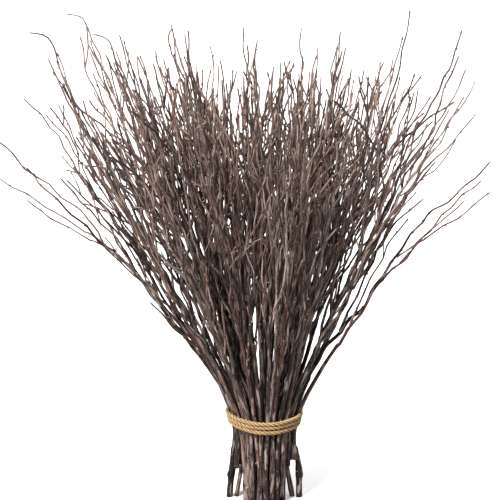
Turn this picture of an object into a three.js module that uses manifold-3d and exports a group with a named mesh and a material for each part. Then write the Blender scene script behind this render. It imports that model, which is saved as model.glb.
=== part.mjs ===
// A standing bundle of about a hundred dried birch twigs, cut level at the foot and tied with jute twine.
// Millimetres, +Z up. The origin is the centre of the foot, on the surface that the cut ends stand on.
// The twigs that show are solids of their own, and one slender solid stands for the thin ones inside.
import * as THREE from "three";
import { mergeVertices } from "three/addons/utils/BufferGeometryUtils.js";
import Module from "manifold-3d";

// Driving dimensions
const WAIST = 70; // height at which the bundle is narrowest, where the twine holds it
const WAIST_LEAN = 0.0045; // slope of a twig at the waist, per millimetre from the axis
const FOOT = { narrow: 0.7, deep: 1.3 }; // how the waist's width and depth scale down to the foot
const RAGGED_FOOT = 7; // most twigs end at most this far above the surface
const SHORT = [31, 39]; // the short ones beside a leg end this high
const LEG = { out: 32.6, thickness: 5.8 }; // the outermost twig on each side stands apart as a leg
const SPLAY = { out: 26, twigs: [0, 12] }; // two of the top's twigs slant out towards the legs
const CROWN_SHIFT = -0.033; // how far the crown leans towards -X, per millimetre of height
const CROWN_DEPTH = 0.86; // the crown's depth over its width
const SIDEWAYS = 0.3; // how far the crown's twigs turn from front and back to the sides
const CLEARANCE = 0.45; // least gap between two solids
const SEED = 21;

// The thin inner twigs, as one solid.
const HEART = { radius: 15.2, footRadius: 12.4, tipRadius: 1.6, top: 430, sides: 12 };

// The outer ring carries the crown's edge, and the inner ring its top.
const RIM = { twigs: 31, radius: 27.4, thickness: [4.5, 5.4] };
const TOP = { twigs: 26, radius: 21.2, thickness: [3.9, 4.8] };

// Jute twine, wound round the waist and knotted at the back.
const TWINE = { thickness: 4, sides: 6, start: 69.4, pitch: 4.35, turns: 3, steps: 20, lean: 1.5 };
const KNOT = { radius: 4.2, thickness: 3.8, rise: 2.4, steps: 21 };
const TAILS = [
  { hand: -1, length: 26, steps: 4 },
  { hand: 1, length: 19, steps: 4 },
];

// Tips that stand clear of the crown's outline: the side they are on, how far out and how high.
const EDGE_TIPS = [
  { bearing: 151, out: 176, up: 448, curl: 0.8 },
  { bearing: 161, out: 190, up: 358, curl: 1.1, foot: "short" },
  { bearing: 171, out: 204, up: 370, curl: 1.15, foot: "short" },
  { bearing: 180, out: 229, up: 332, curl: 1.3, foot: "leg" },
  { bearing: 189, out: 200, up: 314, curl: 1.25, foot: "short" },
  { bearing: 199, out: 182, up: 436, curl: 0.8, foot: "short" },
  { bearing: 210, out: 196, up: 412, curl: 0.85 },
  { bearing: -31, out: 206, up: 416, curl: 0.85 },
  { bearing: -20, out: 192, up: 434, curl: 0.9, foot: "short" },
  { bearing: -10, out: 200, up: 302, curl: 1.3, foot: "short" },
  { bearing: 0, out: 209, up: 318, curl: 1.32, foot: "leg" },
  { bearing: 9, out: 204, up: 384, curl: 1.1, foot: "short" },
  { bearing: 19, out: 190, up: 356, curl: 1.1, foot: "short" },
  { bearing: 30, out: 172, up: 444, curl: 0.8 },
];

const BARK = { color: 0x5d4a42, roughness: 0.78, metalness: 0 };
const JUTE = { color: 0xb08a57, roughness: 0.92, metalness: 0 };

const wasm = await Module();
wasm.setup();

// A repeatable stream of numbers from 0 to 1.
function stream(seed) {
  let state = seed >>> 0;
  return () => {
    state = (state + 0x6d2b79f5) >>> 0;
    let t = Math.imul(state ^ (state >>> 15), state | 1);
    t ^= t + Math.imul(t ^ (t >>> 7), t | 61);
    return ((t ^ (t >>> 14)) >>> 0) / 4294967296;
  };
}

const between = (random, low, high) => low + (high - low) * random();
const degrees = THREE.MathUtils.degToRad;
const polar = (radius, bearing, height = 0) =>
  new THREE.Vector3(radius * Math.cos(bearing), radius * Math.sin(bearing), height);

// A closed surface that is built up from loops of corners.
class Surface {
  positions = [];
  triangles = [];

  corner(p) {
    this.positions.push(p.x, p.y, p.z);
    return this.positions.length / 3 - 1;
  }

  ring(centre, along, side, radius, angles) {
    const across = new THREE.Vector3().crossVectors(side, along);
    return angles.map((a) =>
      this.corner(
        centre
          .clone()
          .addScaledVector(across, radius * Math.cos(a))
          .addScaledVector(side, radius * Math.sin(a)),
      ),
    );
  }

  bridge(from, to) {
    from.forEach((corner, i) => {
      const j = (i + 1) % from.length;
      this.triangles.push(corner, from[j], to[j], corner, to[j], to[i]);
    });
  }

  point(loop, tip) {
    const apex = this.corner(tip);
    loop.forEach((corner, i) => this.triangles.push(corner, loop[(i + 1) % loop.length], apex));
  }

  cap(loop) {
    for (let i = 1; i < loop.length - 1; i++) this.triangles.push(loop[0], loop[i], loop[i + 1]);
  }

  geometry() {
    const made = new THREE.BufferGeometry();
    made.setAttribute("position", new THREE.Float32BufferAttribute(this.positions, 3));
    made.setIndex(this.triangles);
    made.computeVertexNormals();
    return made;
  }
}

// How a loop of corners parts into two at a fork, and where the corners of the new loops sit.
const evenly = (count, first) =>
  Array.from({ length: count }, (_, i) => first + (2 * Math.PI * i) / count);
const FORKS = {
  6: {
    child: { loop: [0, 1, 2, 3], angles: evenly(4, degrees(-45)) },
    leader: { loop: [3, 4, 5, 0], angles: evenly(4, degrees(135)) },
    side: degrees(90),
  },
  4: {
    child: { loop: [0, 1, 2], angles: evenly(3, degrees(105)) },
    leader: { loop: [2, 3, 0], angles: evenly(3, degrees(-75)) },
    side: degrees(225),
  },
};

// A limb is a run of stations, each with its place and radius, and then a tip or a fork into two limbs.
// Its frame is carried along it, so that a fork's corners meet the corners below it.
function layLimb(surface, limb, loop, angles, side) {
  const frame = side.clone();
  let last = loop;
  limb.stations.forEach(({ at, radius }, i) => {
    const before = i ? limb.stations[i - 1].at : limb.from;
    const after = limb.stations[i + 1]?.at ?? limb.fork?.child.from ?? limb.tip;
    const along = new THREE.Vector3().subVectors(after, before).normalize();
    frame.addScaledVector(along, -frame.dot(along)).normalize();
    const next = surface.ring(at, along, frame, radius, angles);
    surface.bridge(last, next);
    last = next;
  });
  if (!limb.fork) {
    surface.point(last, limb.tip);
    return;
  }
  const parting = FORKS[last.length];
  for (const share of ["child", "leader"]) {
    const { loop: kept, angles: turned } = parting[share];
    layLimb(surface, limb.fork[share], kept.map((k) => last[k]), turned, frame);
  }
}

function twigGeometry(twig) {
  const surface = new Surface();
  const foot = surface.ring(twig.foot, new THREE.Vector3(0, 0, 1), twig.side, twig.radius, evenly(6, 0));
  surface.cap([...foot].reverse());
  layLimb(surface, twig.limb, foot, evenly(6, 0), twig.side);
  return surface.geometry();
}

// Thickness of a twig as a share of its butt, at a share of its length: an even taper that ends blunt.
const taper = (share) => 1 - 0.76 * Math.pow(share, 0.8);
const TIP_THICKNESS = 0.26;

// Shares of its route at which a twig has stations below its fork, and of the run from there to the next.
const STEM_STATIONS = [0.09, 0.175, 0.27];
const LEADER_STATIONS = [0.36, 0.72, 1];

// How a twig rises from its foot to the waist. It is held over its foot or under its place at the waist
// up to a share of the way, and eases into the waist over the last of it.
const RISES = {
  plain: { over: "foot", hold: 0.5, ease: 0.24 },
  leg: { over: "foot", hold: 0.64, ease: 0.12 },
  splayed: { over: "waist", hold: 0.4, ease: 0.24 },
};

// The route of a twig: up from the foot to the waist, and out from there to the tip in one sweep.
function routeOf({ foot, waist, tip, curl, footing }) {
  const chord = new THREE.Vector3().subVectors(tip, waist);
  const lean = Math.atan2(Math.hypot(chord.x, chord.y), chord.z);
  const bearing = Math.atan2(chord.y, chord.x);
  const towards = (angle) => polar(Math.sin(angle), bearing, Math.cos(angle));
  const start = new THREE.Vector3(waist.x, waist.y, 0).multiplyScalar(WAIST_LEAN).setZ(1).normalize();
  const finish = towards(Math.min(lean * curl, degrees(72)));
  const length = chord.length();
  const { over, hold, ease } = RISES[footing] ?? RISES.plain;
  const rise = new THREE.CubicBezierCurve3(
    foot,
    (over === "foot" ? foot : waist).clone().setZ(THREE.MathUtils.lerp(foot.z, WAIST, hold)),
    waist.clone().addScaledVector(start, -ease * WAIST),
    waist,
  );
  const sweep = new THREE.CubicBezierCurve3(
    waist,
    waist.clone().addScaledVector(start, 0.12 * length),
    tip.clone().addScaledVector(finish, -0.42 * length),
    tip,
  );
  const route = new THREE.CurvePath();
  route.add(rise);
  route.add(sweep);
  return route;
}

// A twig's route as a guide for its limbs: places, headings and the side that its forks open to.
function guideOf(plan, side) {
  const route = routeOf(plan);
  const heading = (share) => route.getTangentAt(Math.min(share, 0.995)).normalize();
  const facing = (share) => {
    const along = heading(share);
    return side.clone().addScaledVector(along, -side.dot(along)).normalize();
  };
  return { length: route.getLength(), place: (share) => route.getPointAt(share), heading, facing };
}

// A shoot leaves its twig at an angle and bends back to run alongside it.
function shootCurve(guide, { from, share, reach, direction, opening }) {
  const run = reach * guide.length;
  const end = guide.place(Math.min(share + reach, 1));
  end.addScaledVector(direction, opening).addScaledVector(guide.heading(share), -0.06 * guide.length);
  const leaving = from.clone().addScaledVector(guide.heading(share), 0.2 * run);
  leaving.addScaledVector(direction, 0.3 * opening);
  const arriving = end.clone().addScaledVector(guide.heading(share + reach), -0.3 * run);
  return new THREE.CubicBezierCurve3(from, leaving, arriving, end);
}

// A limb with no fork: evenly spaced stations along a curve, and its tip.
function plainLimb(curve, count, thick, thin) {
  const stations = Array.from({ length: count }, (_, i) => {
    const share = (i + 1) / (count + 1);
    return { at: curve.getPoint(share), radius: THREE.MathUtils.lerp(thick, thin, share) };
  });
  return { from: curve.getPoint(0), stations, tip: curve.getPoint(1) };
}

// The leader above a fork sways a little, and forks once more before its tip.
function growLeader(plan, guide, low, random) {
  const share = between(random, 0.68, 0.76);
  const thin = plan.radius * TIP_THICKNESS;
  const stations = LEADER_STATIONS.map((portion) => {
    const along = THREE.MathUtils.lerp(low, share, portion);
    const at = guide.place(along).addScaledVector(guide.facing(along), between(random, -2, 0.8));
    return { at, radius: plan.radius * taper(along) * 0.92 };
  });
  const { at: from, radius } = stations.at(-1);
  const facing = guide.facing(share);
  const crosswise = new THREE.Vector3().crossVectors(facing, guide.heading(share));
  const direction = facing.multiplyScalar(Math.sin(FORKS[4].side));
  direction.addScaledVector(crosswise, Math.cos(FORKS[4].side));
  const opening = between(random, 14, 26);
  const onwards = new THREE.CubicBezierCurve3(
    from,
    guide.place(THREE.MathUtils.lerp(share, 1, 0.35)).addScaledVector(direction, -2),
    guide.place(THREE.MathUtils.lerp(share, 1, 0.7)),
    guide.place(1),
  );
  const shoot = shootCurve(guide, { from, share, reach: 1 - share, direction, opening });
  const fork = {
    child: plainLimb(shoot, 2, radius * 0.75, thin),
    leader: plainLimb(onwards, 2, radius * 0.9, thin),
  };
  return { from: guide.place(low), stations, fork };
}

// A twig forks about halfway up: an outer one on its upper side, and any other to either side or outwards.
function growTwig(plan, random) {
  const outwards = Math.atan2(plan.waist.y, plan.waist.x);
  const upper = plan.name === "outer_twig" ? Math.PI : 0;
  const side = polar(1, outwards + upper + between(random, -0.55, 0.55) * Math.PI);
  const guide = guideOf(plan, side);
  const low = between(random, 0.4, 0.5);
  const stations = [...STEM_STATIONS, low].map((share) => ({
    at: guide.place(share),
    radius: plan.radius * taper(share),
  }));
  const { at: from, radius } = stations.at(-1);
  const shoot = shootCurve(guide, {
    from,
    share: low,
    reach: between(random, 0.4, 0.5),
    direction: guide.facing(low),
    opening: between(random, 22, 36),
  });
  const fork = {
    child: plainLimb(shoot, 3, radius * 0.72, plan.radius * TIP_THICKNESS),
    leader: growLeader(plan, guide, low, random),
  };
  return { ...plan, side, limb: { from: plan.foot, stations, fork } };
}

// The straight pieces of a twig, for telling how near two twigs come.
function piecesOf(limb, thickness = limb.stations[0].radius) {
  const stations = [...limb.stations];
  if (limb.tip) stations.push({ at: limb.tip, radius: stations.at(-1).radius });
  let from = { at: limb.from, radius: thickness };
  const pieces = stations.map((to) => {
    const piece = { line: new THREE.Line3(from.at, to.at), radius: Math.max(from.radius, to.radius) };
    from = to;
    return piece;
  });
  const above = limb.fork
    ? [limb.fork.child, limb.fork.leader].flatMap((l) => piecesOf(l, l.stations[0].radius))
    : [];
  return [...pieces, ...above];
}

// Least distance between two straight pieces.
function gapBetween(a, b) {
  const u = a.line.delta(new THREE.Vector3());
  const v = b.line.delta(new THREE.Vector3());
  const w = new THREE.Vector3().subVectors(a.line.start, b.line.start);
  const [uu, uv, vv, uw, vw] = [u.dot(u), u.dot(v), v.dot(v), u.dot(w), v.dot(w)];
  const bottom = uu * vv - uv * uv;
  const clamp = THREE.MathUtils.clamp;
  let s = bottom > 1e-9 ? clamp((uv * vw - vv * uw) / bottom, 0, 1) : 0;
  const t = clamp((uv * s + vw) / vv, 0, 1);
  s = clamp((uv * t - uw) / uu, 0, 1);
  const near = a.line.at(s, new THREE.Vector3()).distanceTo(b.line.at(t, new THREE.Vector3()));
  return near - a.radius - b.radius;
}

function heartRadiusAt(height) {
  const { radius, footRadius, tipRadius, top } = HEART;
  if (height < WAIST) return THREE.MathUtils.lerp(footRadius, radius, height / WAIST);
  const share = Math.min((height - WAIST) / (top - WAIST), 1);
  return THREE.MathUtils.lerp(tipRadius, radius, Math.pow(1 - share, 1.15));
}

const heartLeanAt = (height) => CROWN_SHIFT * Math.max(0, height - WAIST);

function clearsHeart({ line, radius }) {
  return [line.start, line.end].every(
    ({ x, y, z }) => Math.hypot(x - heartLeanAt(z), y) - radius - CLEARANCE > heartRadiusAt(z),
  );
}

// Round sections pushed apart until none touch, kept outside the heart and drawn in towards it.
// A fixed section stays where it is.
function settle(sections, heartRadius, gap) {
  for (let round = 0; round < 500; round++) {
    sections.forEach((a, i) => {
      sections.slice(i + 1).forEach((b) => {
        const apart = new THREE.Vector2().subVectors(a.at, b.at);
        const overlap = a.radius + b.radius + gap - apart.length();
        if (overlap <= 0) return;
        apart.setLength(overlap / 2);
        if (!a.fixed) a.at.add(apart);
        if (!b.fixed) b.at.sub(apart);
      });
      if (a.fixed) return;
      const inner = heartRadius + a.radius + gap + 0.6;
      if (a.at.length() < inner) a.at.setLength(inner);
      else if (round < 350) a.at.multiplyScalar(0.9992);
    });
  }
  return sections.map((section) => section.at);
}

function ringOf({ twigs, radius, thickness }, bearings, random) {
  return Array.from({ length: twigs }, (_, i) => {
    const bearing = bearings ? bearings[i] : (2 * Math.PI * (i + 0.5)) / twigs;
    const at = polar(radius + between(random, -0.8, 0.8), bearing + between(random, -0.03, 0.03));
    return {
      bearing,
      at: new THREE.Vector2(at.x, at.y),
      radius: between(random, ...thickness) / 2,
    };
  });
}

// Where the rim's other twigs end: lower and further out than the top's, a little nearer at front and back.
function rimTip(bearing, random) {
  const nearer = 26 * Math.abs(Math.sin(bearing));
  return { out: between(random, 130, 190) - nearer, up: between(random, 318, 420) };
}

// The top's twigs end high, by turns near the middle and further out.
function topTip(random, i) {
  const out = i % 2 ? between(random, 55, 100) : between(random, 105, 155);
  return { out, up: between(random, 376, 440) };
}

// Bearings of the rim: the edge tips have their own, and the rest are shared out over the two gaps.
function rimBearings() {
  const edge = EDGE_TIPS.map((tip) => degrees(tip.bearing));
  const rest = RIM.twigs - edge.length;
  const back = Math.ceil(rest / 2);
  const shared = (from, to, count) =>
    Array.from({ length: count }, (_, i) => degrees(from + ((to - from) * (i + 1)) / (count + 1)));
  return [...edge, ...shared(30, 151, back), ...shared(210, 329, rest - back)];
}

// Every twig's thickness, its places at the foot and the waist, and where it is to end.
function planTwigs(random) {
  const rim = ringOf(RIM, rimBearings(), random).map((section, i) => ({
    ...section,
    ...(EDGE_TIPS[i] ?? { ...rimTip(section.bearing, random), curl: between(random, 0.7, 1.15) }),
    bearing: section.bearing,
    radius: EDGE_TIPS[i]?.foot === "leg" ? LEG.thickness / 2 : section.radius,
    name: "outer_twig",
  }));
  const top = ringOf(TOP, null, random).map((section, i) => ({
    ...section,
    ...topTip(random, i),
    foot: SPLAY.twigs.includes(i) ? "splayed" : "plain",
    bearing: section.bearing - SIDEWAYS * Math.sin(2 * section.bearing),
    curl: between(random, 0.75, 1.2),
    name: "middle_twig",
  }));
  const all = [...rim, ...top];
  const waists = settle(all, HEART.radius, CLEARANCE + 0.1);
  const feet = settle(footSections(all, waists, random), HEART.footRadius, CLEARANCE + 0.5);
  return all.map((plan, i) => ({ ...plan, waistAt: waists[i], footAt: feet[i] }));
}

// The foot is narrower and deeper than the waist. Legs and splayed twigs stand wide of it, near its
// middle line, and a short twig keeps its place.
function footSections(all, waists, random) {
  const axis = new THREE.Vector2();
  return all.map(({ radius, foot }, i) => {
    const { x, y } = waists[i];
    const wide = { leg: LEG.out, splayed: SPLAY.out }[foot];
    if (wide) return { radius, at: new THREE.Vector2(Math.sign(x) * wide, y / 2), fixed: true };
    if (foot === "short") return { radius, at: waists[i].clone(), fixed: true };
    const at = new THREE.Vector2(x * FOOT.narrow, y * FOOT.deep);
    return { radius, at: at.rotateAround(axis, between(random, -0.06, 0.06)) };
  });
}

// Where a twig's cut end is, with some play. A short twig ends high up, under its place at the waist.
function footOf({ foot, footAt }, waist, play, random) {
  if (foot === "leg" || foot === "splayed") return new THREE.Vector3(footAt.x, footAt.y, 0);
  if (foot === "short") return waist.clone().setZ(between(random, ...SHORT));
  const lift = random() < 0.45 ? between(random, 1, RAGGED_FOOT) : 0;
  return polar(play * random(), 2 * Math.PI * random(), lift).add(new THREE.Vector3(footAt.x, footAt.y));
}

// A twig may end a little further round, or fork another way, until it clears all the twigs before it.
function placeTwigs() {
  const random = stream(SEED);
  const placed = [];
  planTwigs(random).forEach((plan, order) => {
    for (let attempt = 0; ; attempt++) {
      const own = stream(SEED * 1000 + order * 50 + attempt);
      const ease = Math.min(attempt, 30) / 30;
      const need = CLEARANCE * (1 - 0.6 * ease);
      const radius = plan.radius * (1 - 0.06 * ease);
      const bearing = plan.bearing + between(own, -0.02, 0.02) * (1 + 7 * ease);
      const tip = polar(plan.out, bearing, plan.up);
      tip.x += CROWN_SHIFT * plan.up;
      tip.y *= CROWN_DEPTH;
      const waist = new THREE.Vector3(plan.waistAt.x, plan.waistAt.y, WAIST);
      const foot = footOf(plan, waist, ease, own);
      const twig = growTwig({ ...plan, radius, foot, waist, tip, footing: plan.foot }, own);
      const pieces = piecesOf(twig.limb, radius);
      const clear =
        pieces.every(clearsHeart) &&
        placed.every((other) => other.pieces.every((b) => pieces.every((a) => gapBetween(a, b) > need)));
      if (clear) {
        placed.push({ ...twig, pieces });
        break;
      }
      if (attempt > 200) throw new Error(`${plan.name} ${order} finds no room`);
    }
  });
  return placed;
}

// The thin inner twigs, tapering from the foot to their tips.
function heartGeometry() {
  const heights = [0, WAIST, 150, 240, 330, 400, HEART.top];
  const outline = heights.map((height) => new THREE.Vector2(heartRadiusAt(height), height));
  const closed = [new THREE.Vector2(0, 0), ...outline, new THREE.Vector2(0, HEART.top + 4)];
  const turned = new THREE.LatheGeometry(closed, HEART.sides);
  turned.deleteAttribute("uv");
  turned.deleteAttribute("normal");
  turned.rotateX(Math.PI / 2);
  const leaned = turned.attributes.position;
  for (let i = 0; i < leaned.count; i++) leaned.setX(i, leaned.getX(i) + heartLeanAt(leaned.getZ(i)));
  return turned;
}

// Sections of the twigs at a height: centres and radii.
function sectionsAt(twigs, height) {
  return twigs.map(({ pieces }) => {
    const piece = pieces.find(({ line }) => line.start.z <= height && line.end.z >= height);
    const share = (height - piece.line.start.z) / (piece.line.end.z - piece.line.start.z);
    const centre = piece.line.at(share, new THREE.Vector3());
    return { centre, radius: piece.radius };
  });
}

// How far from the axis a taut loop lies, round the sections at a height, in a given direction.
function tautRadius(sections, bearing) {
  let nearest = Infinity;
  for (let turn = -60; turn <= 60; turn += 3) {
    const facing = bearing + degrees(turn);
    const normal = polar(1, facing);
    const reach = Math.max(...sections.map(({ centre, radius }) => centre.dot(normal) + radius));
    nearest = Math.min(nearest, reach / Math.cos(degrees(turn)));
  }
  return nearest;
}

// The centre line of the turns, which start and end at the back.
function twineRoute(twigs) {
  const { thickness, start, pitch, turns, steps, lean } = TWINE;
  const clear = thickness / 2 + 0.35;
  const around = (share) => {
    const bearing = Math.PI / 2 - 2 * Math.PI * share;
    const height = start + pitch * share + lean * Math.sin(bearing) * 0.5;
    const levels = [height - 2, height + 2].map((level) => sectionsAt(twigs, level));
    const nearby = [-Math.PI / steps, 0, Math.PI / steps].map((turn) => bearing + turn);
    const reach = Math.max(...levels.flatMap((sections) => nearby.map((b) => tautRadius(sections, b))));
    return polar((reach + clear) / Math.cos(Math.PI / steps), bearing, height);
  };
  return Array.from({ length: turns * steps + 1 }, (_, i) => around(i / steps));
}

// A round cord along a route, closed at both ends.
function cord(points, thickness, sides, steps) {
  const route = new THREE.CatmullRomCurve3(points);
  const corners = evenly(sides, 0).map((a) => polar(thickness / 2, a));
  const section = new THREE.Shape(corners.map(({ x, y }) => new THREE.Vector2(x, y)));
  return new THREE.ExtrudeGeometry(section, { steps, extrudePath: route });
}

function solidOf(made) {
  const plain = new THREE.BufferGeometry();
  plain.setAttribute("position", made.getAttribute("position"));
  if (made.index) plain.setIndex(made.index);
  const welded = mergeVertices(plain, 1e-4);
  const mesh = new wasm.Mesh({
    numProp: 3,
    vertProperties: new Float32Array(welded.attributes.position.array),
    triVerts: new Uint32Array(welded.index.array),
  });
  return new wasm.Manifold(mesh);
}

// Only the outer shell is kept, so a hollow between crossing cords is filled.
function join(geometries) {
  const shells = wasm.Manifold.union(geometries.map(solidOf)).decompose();
  const outer = shells.reduce((a, b) => (a.volume() > b.volume() ? a : b));
  const { vertProperties, triVerts } = outer.getMesh();
  const joined = new THREE.BufferGeometry();
  joined.setAttribute("position", new THREE.Float32BufferAttribute(vertProperties, 3));
  joined.setIndex(Array.from(triVerts));
  joined.computeVertexNormals();
  return joined;
}

// The turns, with a rounded knot at the back and a short tail either side of it.
function tieGeometry(twigs) {
  const turns = twineRoute(twigs);
  const first = turns[0];
  const last = turns.at(-1);
  const middle = first.clone().lerp(last, 0.5);
  const knotAt = middle.clone().setY(Math.max(first.y, last.y) + KNOT.rise + 2);
  const knot = Array.from({ length: KNOT.steps }, (_, i) => {
    const a = (2 * Math.PI * i) / KNOT.steps;
    const swing = polar(KNOT.radius + 0.9 * Math.cos(3 * a), 2 * a);
    return new THREE.Vector3(swing.x, 1.5 * Math.sin(3 * a), swing.y).add(knotAt);
  });
  const tail = ({ hand, length }) => [
    knotAt.clone(),
    knotAt.clone().add(new THREE.Vector3(hand * 6, 2.2, -2)),
    knotAt.clone().add(new THREE.Vector3(hand * 12, 3.5, -9)),
    knotAt.clone().add(new THREE.Vector3(hand * 14, 5, -0.8 * length)),
  ];
  const core = new THREE.IcosahedronGeometry(KNOT.radius, 1).scale(1, 0.6, 1);
  return join([
    core.translate(...knotAt.clone().lerp(middle, 0.3)),
    cord(turns, TWINE.thickness, TWINE.sides, TWINE.turns * TWINE.steps),
    ...TAILS.map((shape) => cord(tail(shape), KNOT.thickness, TWINE.sides, shape.steps)),
    cord([first, knotAt], KNOT.thickness, TWINE.sides, 1),
    cord([last, knotAt], KNOT.thickness, TWINE.sides, 1),
    new THREE.TubeGeometry(new THREE.CatmullRomCurve3(knot, true), KNOT.steps, KNOT.thickness / 2, 5, true),
  ]);
}

function named(name, geometry, finish) {
  const mesh = new THREE.Mesh(geometry, new THREE.MeshStandardMaterial(finish));
  mesh.name = name;
  return mesh;
}

const twigs = placeTwigs();
const group = new THREE.Group();
for (const kind of ["outer_twig", "middle_twig"]) {
  const ring = twigs.filter(({ name }) => name === kind);
  ring.forEach((twig, i) => {
    group.add(named(`${kind}_${String(i + 1).padStart(2, "0")}`, twigGeometry(twig), BARK));
  });
}
group.add(named("inner_twigs", heartGeometry(), BARK));
group.add(named("twine_tie", tieGeometry(twigs), JUTE));

export default group;
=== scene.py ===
import math

import bpy
import numpy as np
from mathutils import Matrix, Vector


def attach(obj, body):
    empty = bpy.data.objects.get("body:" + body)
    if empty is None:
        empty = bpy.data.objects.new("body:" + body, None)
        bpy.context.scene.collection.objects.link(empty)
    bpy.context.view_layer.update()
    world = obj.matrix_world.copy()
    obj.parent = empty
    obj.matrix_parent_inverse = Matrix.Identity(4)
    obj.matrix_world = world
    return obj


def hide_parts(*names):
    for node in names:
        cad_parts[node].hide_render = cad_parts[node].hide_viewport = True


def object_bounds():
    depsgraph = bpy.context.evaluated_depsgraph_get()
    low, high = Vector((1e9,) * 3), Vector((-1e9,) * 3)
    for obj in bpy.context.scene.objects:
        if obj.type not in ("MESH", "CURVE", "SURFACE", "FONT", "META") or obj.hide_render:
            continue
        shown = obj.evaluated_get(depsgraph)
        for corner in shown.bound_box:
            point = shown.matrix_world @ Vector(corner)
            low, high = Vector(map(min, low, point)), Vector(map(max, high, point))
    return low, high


# A bundle of dried birch twigs that stands on its cut ends, tied low down with jute twine.
# Shapes are worked out in millimetres and made in metres.

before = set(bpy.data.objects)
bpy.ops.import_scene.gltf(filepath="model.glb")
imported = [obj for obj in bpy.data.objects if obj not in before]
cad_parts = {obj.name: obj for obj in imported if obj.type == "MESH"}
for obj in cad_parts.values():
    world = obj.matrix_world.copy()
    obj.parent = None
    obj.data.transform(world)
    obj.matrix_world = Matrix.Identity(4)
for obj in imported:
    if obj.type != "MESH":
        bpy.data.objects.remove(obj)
cad_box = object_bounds()

MM = 0.001
TAU = 2 * math.pi
UP = np.array([0.0, 0.0, 1.0])

STEM_SEED = 100  # the first stem's, and the first inner twig's
INNER_SEED = 900

# The stems.
WAIST = 70.0  # height at which the twine holds the bundle
STILL_BELOW = 96.0  # below this height stems run side by side, under the twine and just above it
BOWED_BELOW = 64.0  # between the ground and this height they bow a little
STEM_BOW = 1.1
STEM_SWAY = 2.4  # size of the slow bends above the waist
FORK_SWAY = 1.8
STEP = 3.6  # length of a ring of bark along a limb
SIDES = ((1.9, 10), (1.3, 8), (0.85, 6), (0.0, 5))  # how many sides a limb thicker than each radius has
TIP_RADIUS = 0.7  # about as thin as a twig gets at its end
WITH_BARK = 1.06  # how much thicker a limb is than its solid
FORK_SHARE = 0.8  # a side limb's thickness where it leaves its stem, over the stem's
WOOD_SHARE = 0.88  # how far the pale wood reaches across a cut end, inside its bark
TINT_PLAY = 0.28  # how much a limb's colour varies from its twig's
LEG_RADIUS = 2.71  # a stem thicker than this is a leg, which stands apart at the foot
LEG_TINT = 0.32  # and its bark is dark
# The swellings on a leg: how high, how far round, how full and how long.
LEG_KNOTS = ((21.0, 0.0, 0.55, 2.8), (27.0, 2.6, 0.5, 2.6), (46.0, 1.2, 0.34, 2.4))
STUBS = (0.66, 0.28, 0.06)  # chances that a stem has no cut-off side branch low down, one, or two
STUB_HEIGHTS = ((8, 52), (100, 200))
HOOKED_ABOVE = 434.0  # stems that reach higher than this, on the left, bend over at the end
HOOKED_BEYOND = -110.0  # and this is how far left
HOOKED_RINGS = 6  # how many rings of bark the bend takes

# The crown, which is where side shoots may reach.
CEILING = (407.0, 28.0)  # mean height at which they end, and how much it varies
BACKWARD_DROP = 0.2  # how much lower they end for each step towards the back
# Heights, and how far out they may reach there.
CROWN_EDGE = ((80, 34), (120, 48), (160, 76), (200, 106), (235, 134), (300, 172), (340, 184), (450, 170))
EDGE_PLAY = (0.94, 1.02)  # the share of that reach which a shoot is held to
CROWN_DIP = (26.0, 110.0)  # the top dips this much in the middle, over this distance to either side
CROWN_LEAN = -0.04  # how far the crown leans aside, for each step up
CROWN_DEPTH = 0.86  # its depth over its width
BOX_MARGIN = 6  # how far they may pass the box of all the solids

# Nodes and side shoots: on a stem or bough, on a side shoot, and on a shoot of that.
NODE_SPACING = ((13, 25), (8, 17), (8, 17))
ZIGZAG = (1.25, 0.9, 0.9)  # how far the wood turns aside at a node
SHOOT_CHANCE = (0.25, 0.16, 0.0)  # that a node carries a shoot
SHOOT_LENGTH = (54, 20)  # the usual length of that shoot
SHOOT_LIMIT = (110, 40)  # and the greatest
SHOOTS_BY_HEIGHT = ((150, 305, 345), (0.4, 1.1, 0.7))  # heights, and how readily shoots grow there
SHOOT_STEP = 2.9  # length of a ring of bark along a shoot
SHOOT_RADIUS = 1.3  # a shoot's base is no thicker
SHOOT_OPENING = (0.35, 0.8)  # the angle at which it leaves
SHOOT_RETURN = (0.07, 0.2)  # how fast it bends back towards its parent's heading
LEAST_RISE = 0.45  # it sets out at least this steeply
SKYWARD = 0.22  # and turns more upright than its parent by this much
DRIFT = 0.012  # its slow bend to one side
UNEVEN = 0.035  # and its small bends at each step
HOOK_CHANCE = 0.2  # that it hooks over at its end
END_BUD = (3.2, 5.0)  # lengths of the bud at an end, and of one at a node
SIDE_BUD = (2.4, 3.6)
BUD_GIRTH = 0.55  # buds are coloured as wood of this radius
STEM_BARE = 112.0  # how far from its base a stem has its first node, and each kind of side limb
FORK_BARE = 14.0
BOUGH_BARE = 12.0
SHOOT_BARE = 8.0

# Boughs, which are the long side limbs.
BOUGHS = 3  # on each stem
BOUGH_SPAN = 0.35  # the share of a stem's length over which they leave it
BOUGH_OPENING = (0.22, 0.42)
BOUGH_RETURN = 0.045
BOUGH_REACH = (0.46, 0.96)  # their length over what is left of the stem
BOUGH_WIDTH = (0.66, 0.88)  # their thickness over the stem's

# The inner twigs.
INNER_PITCH = 4.3  # centre to centre at the waist, where they are packed
INNER_THICKNESS = (3.5, 4.1)
INNER_REACH = 14.9  # they keep inside this radius at the waist
INNER_FOOT_SPREAD = 0.86  # how wide they stand at the foot, over how wide they are at the waist
# the range of an inner twig's tint, kept to the darker kinds of bark: painted shade for the inside of the
# bundle
INNER_TINT = (0.26, 0.7)
INNER_CUT_SHORT = 0.6  # the share of them that ends above the ground
INNER_SHORT_BY = (3, 26)  # and by how much
INNER_SPREAD = (85, 195)  # how far out the outermost ones end
INNER_HEIGHT = (372, 430)
INNER_SWAY = 3.0
INNER_BARE = 150.0
INNER_BOUGHS = 4

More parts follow.
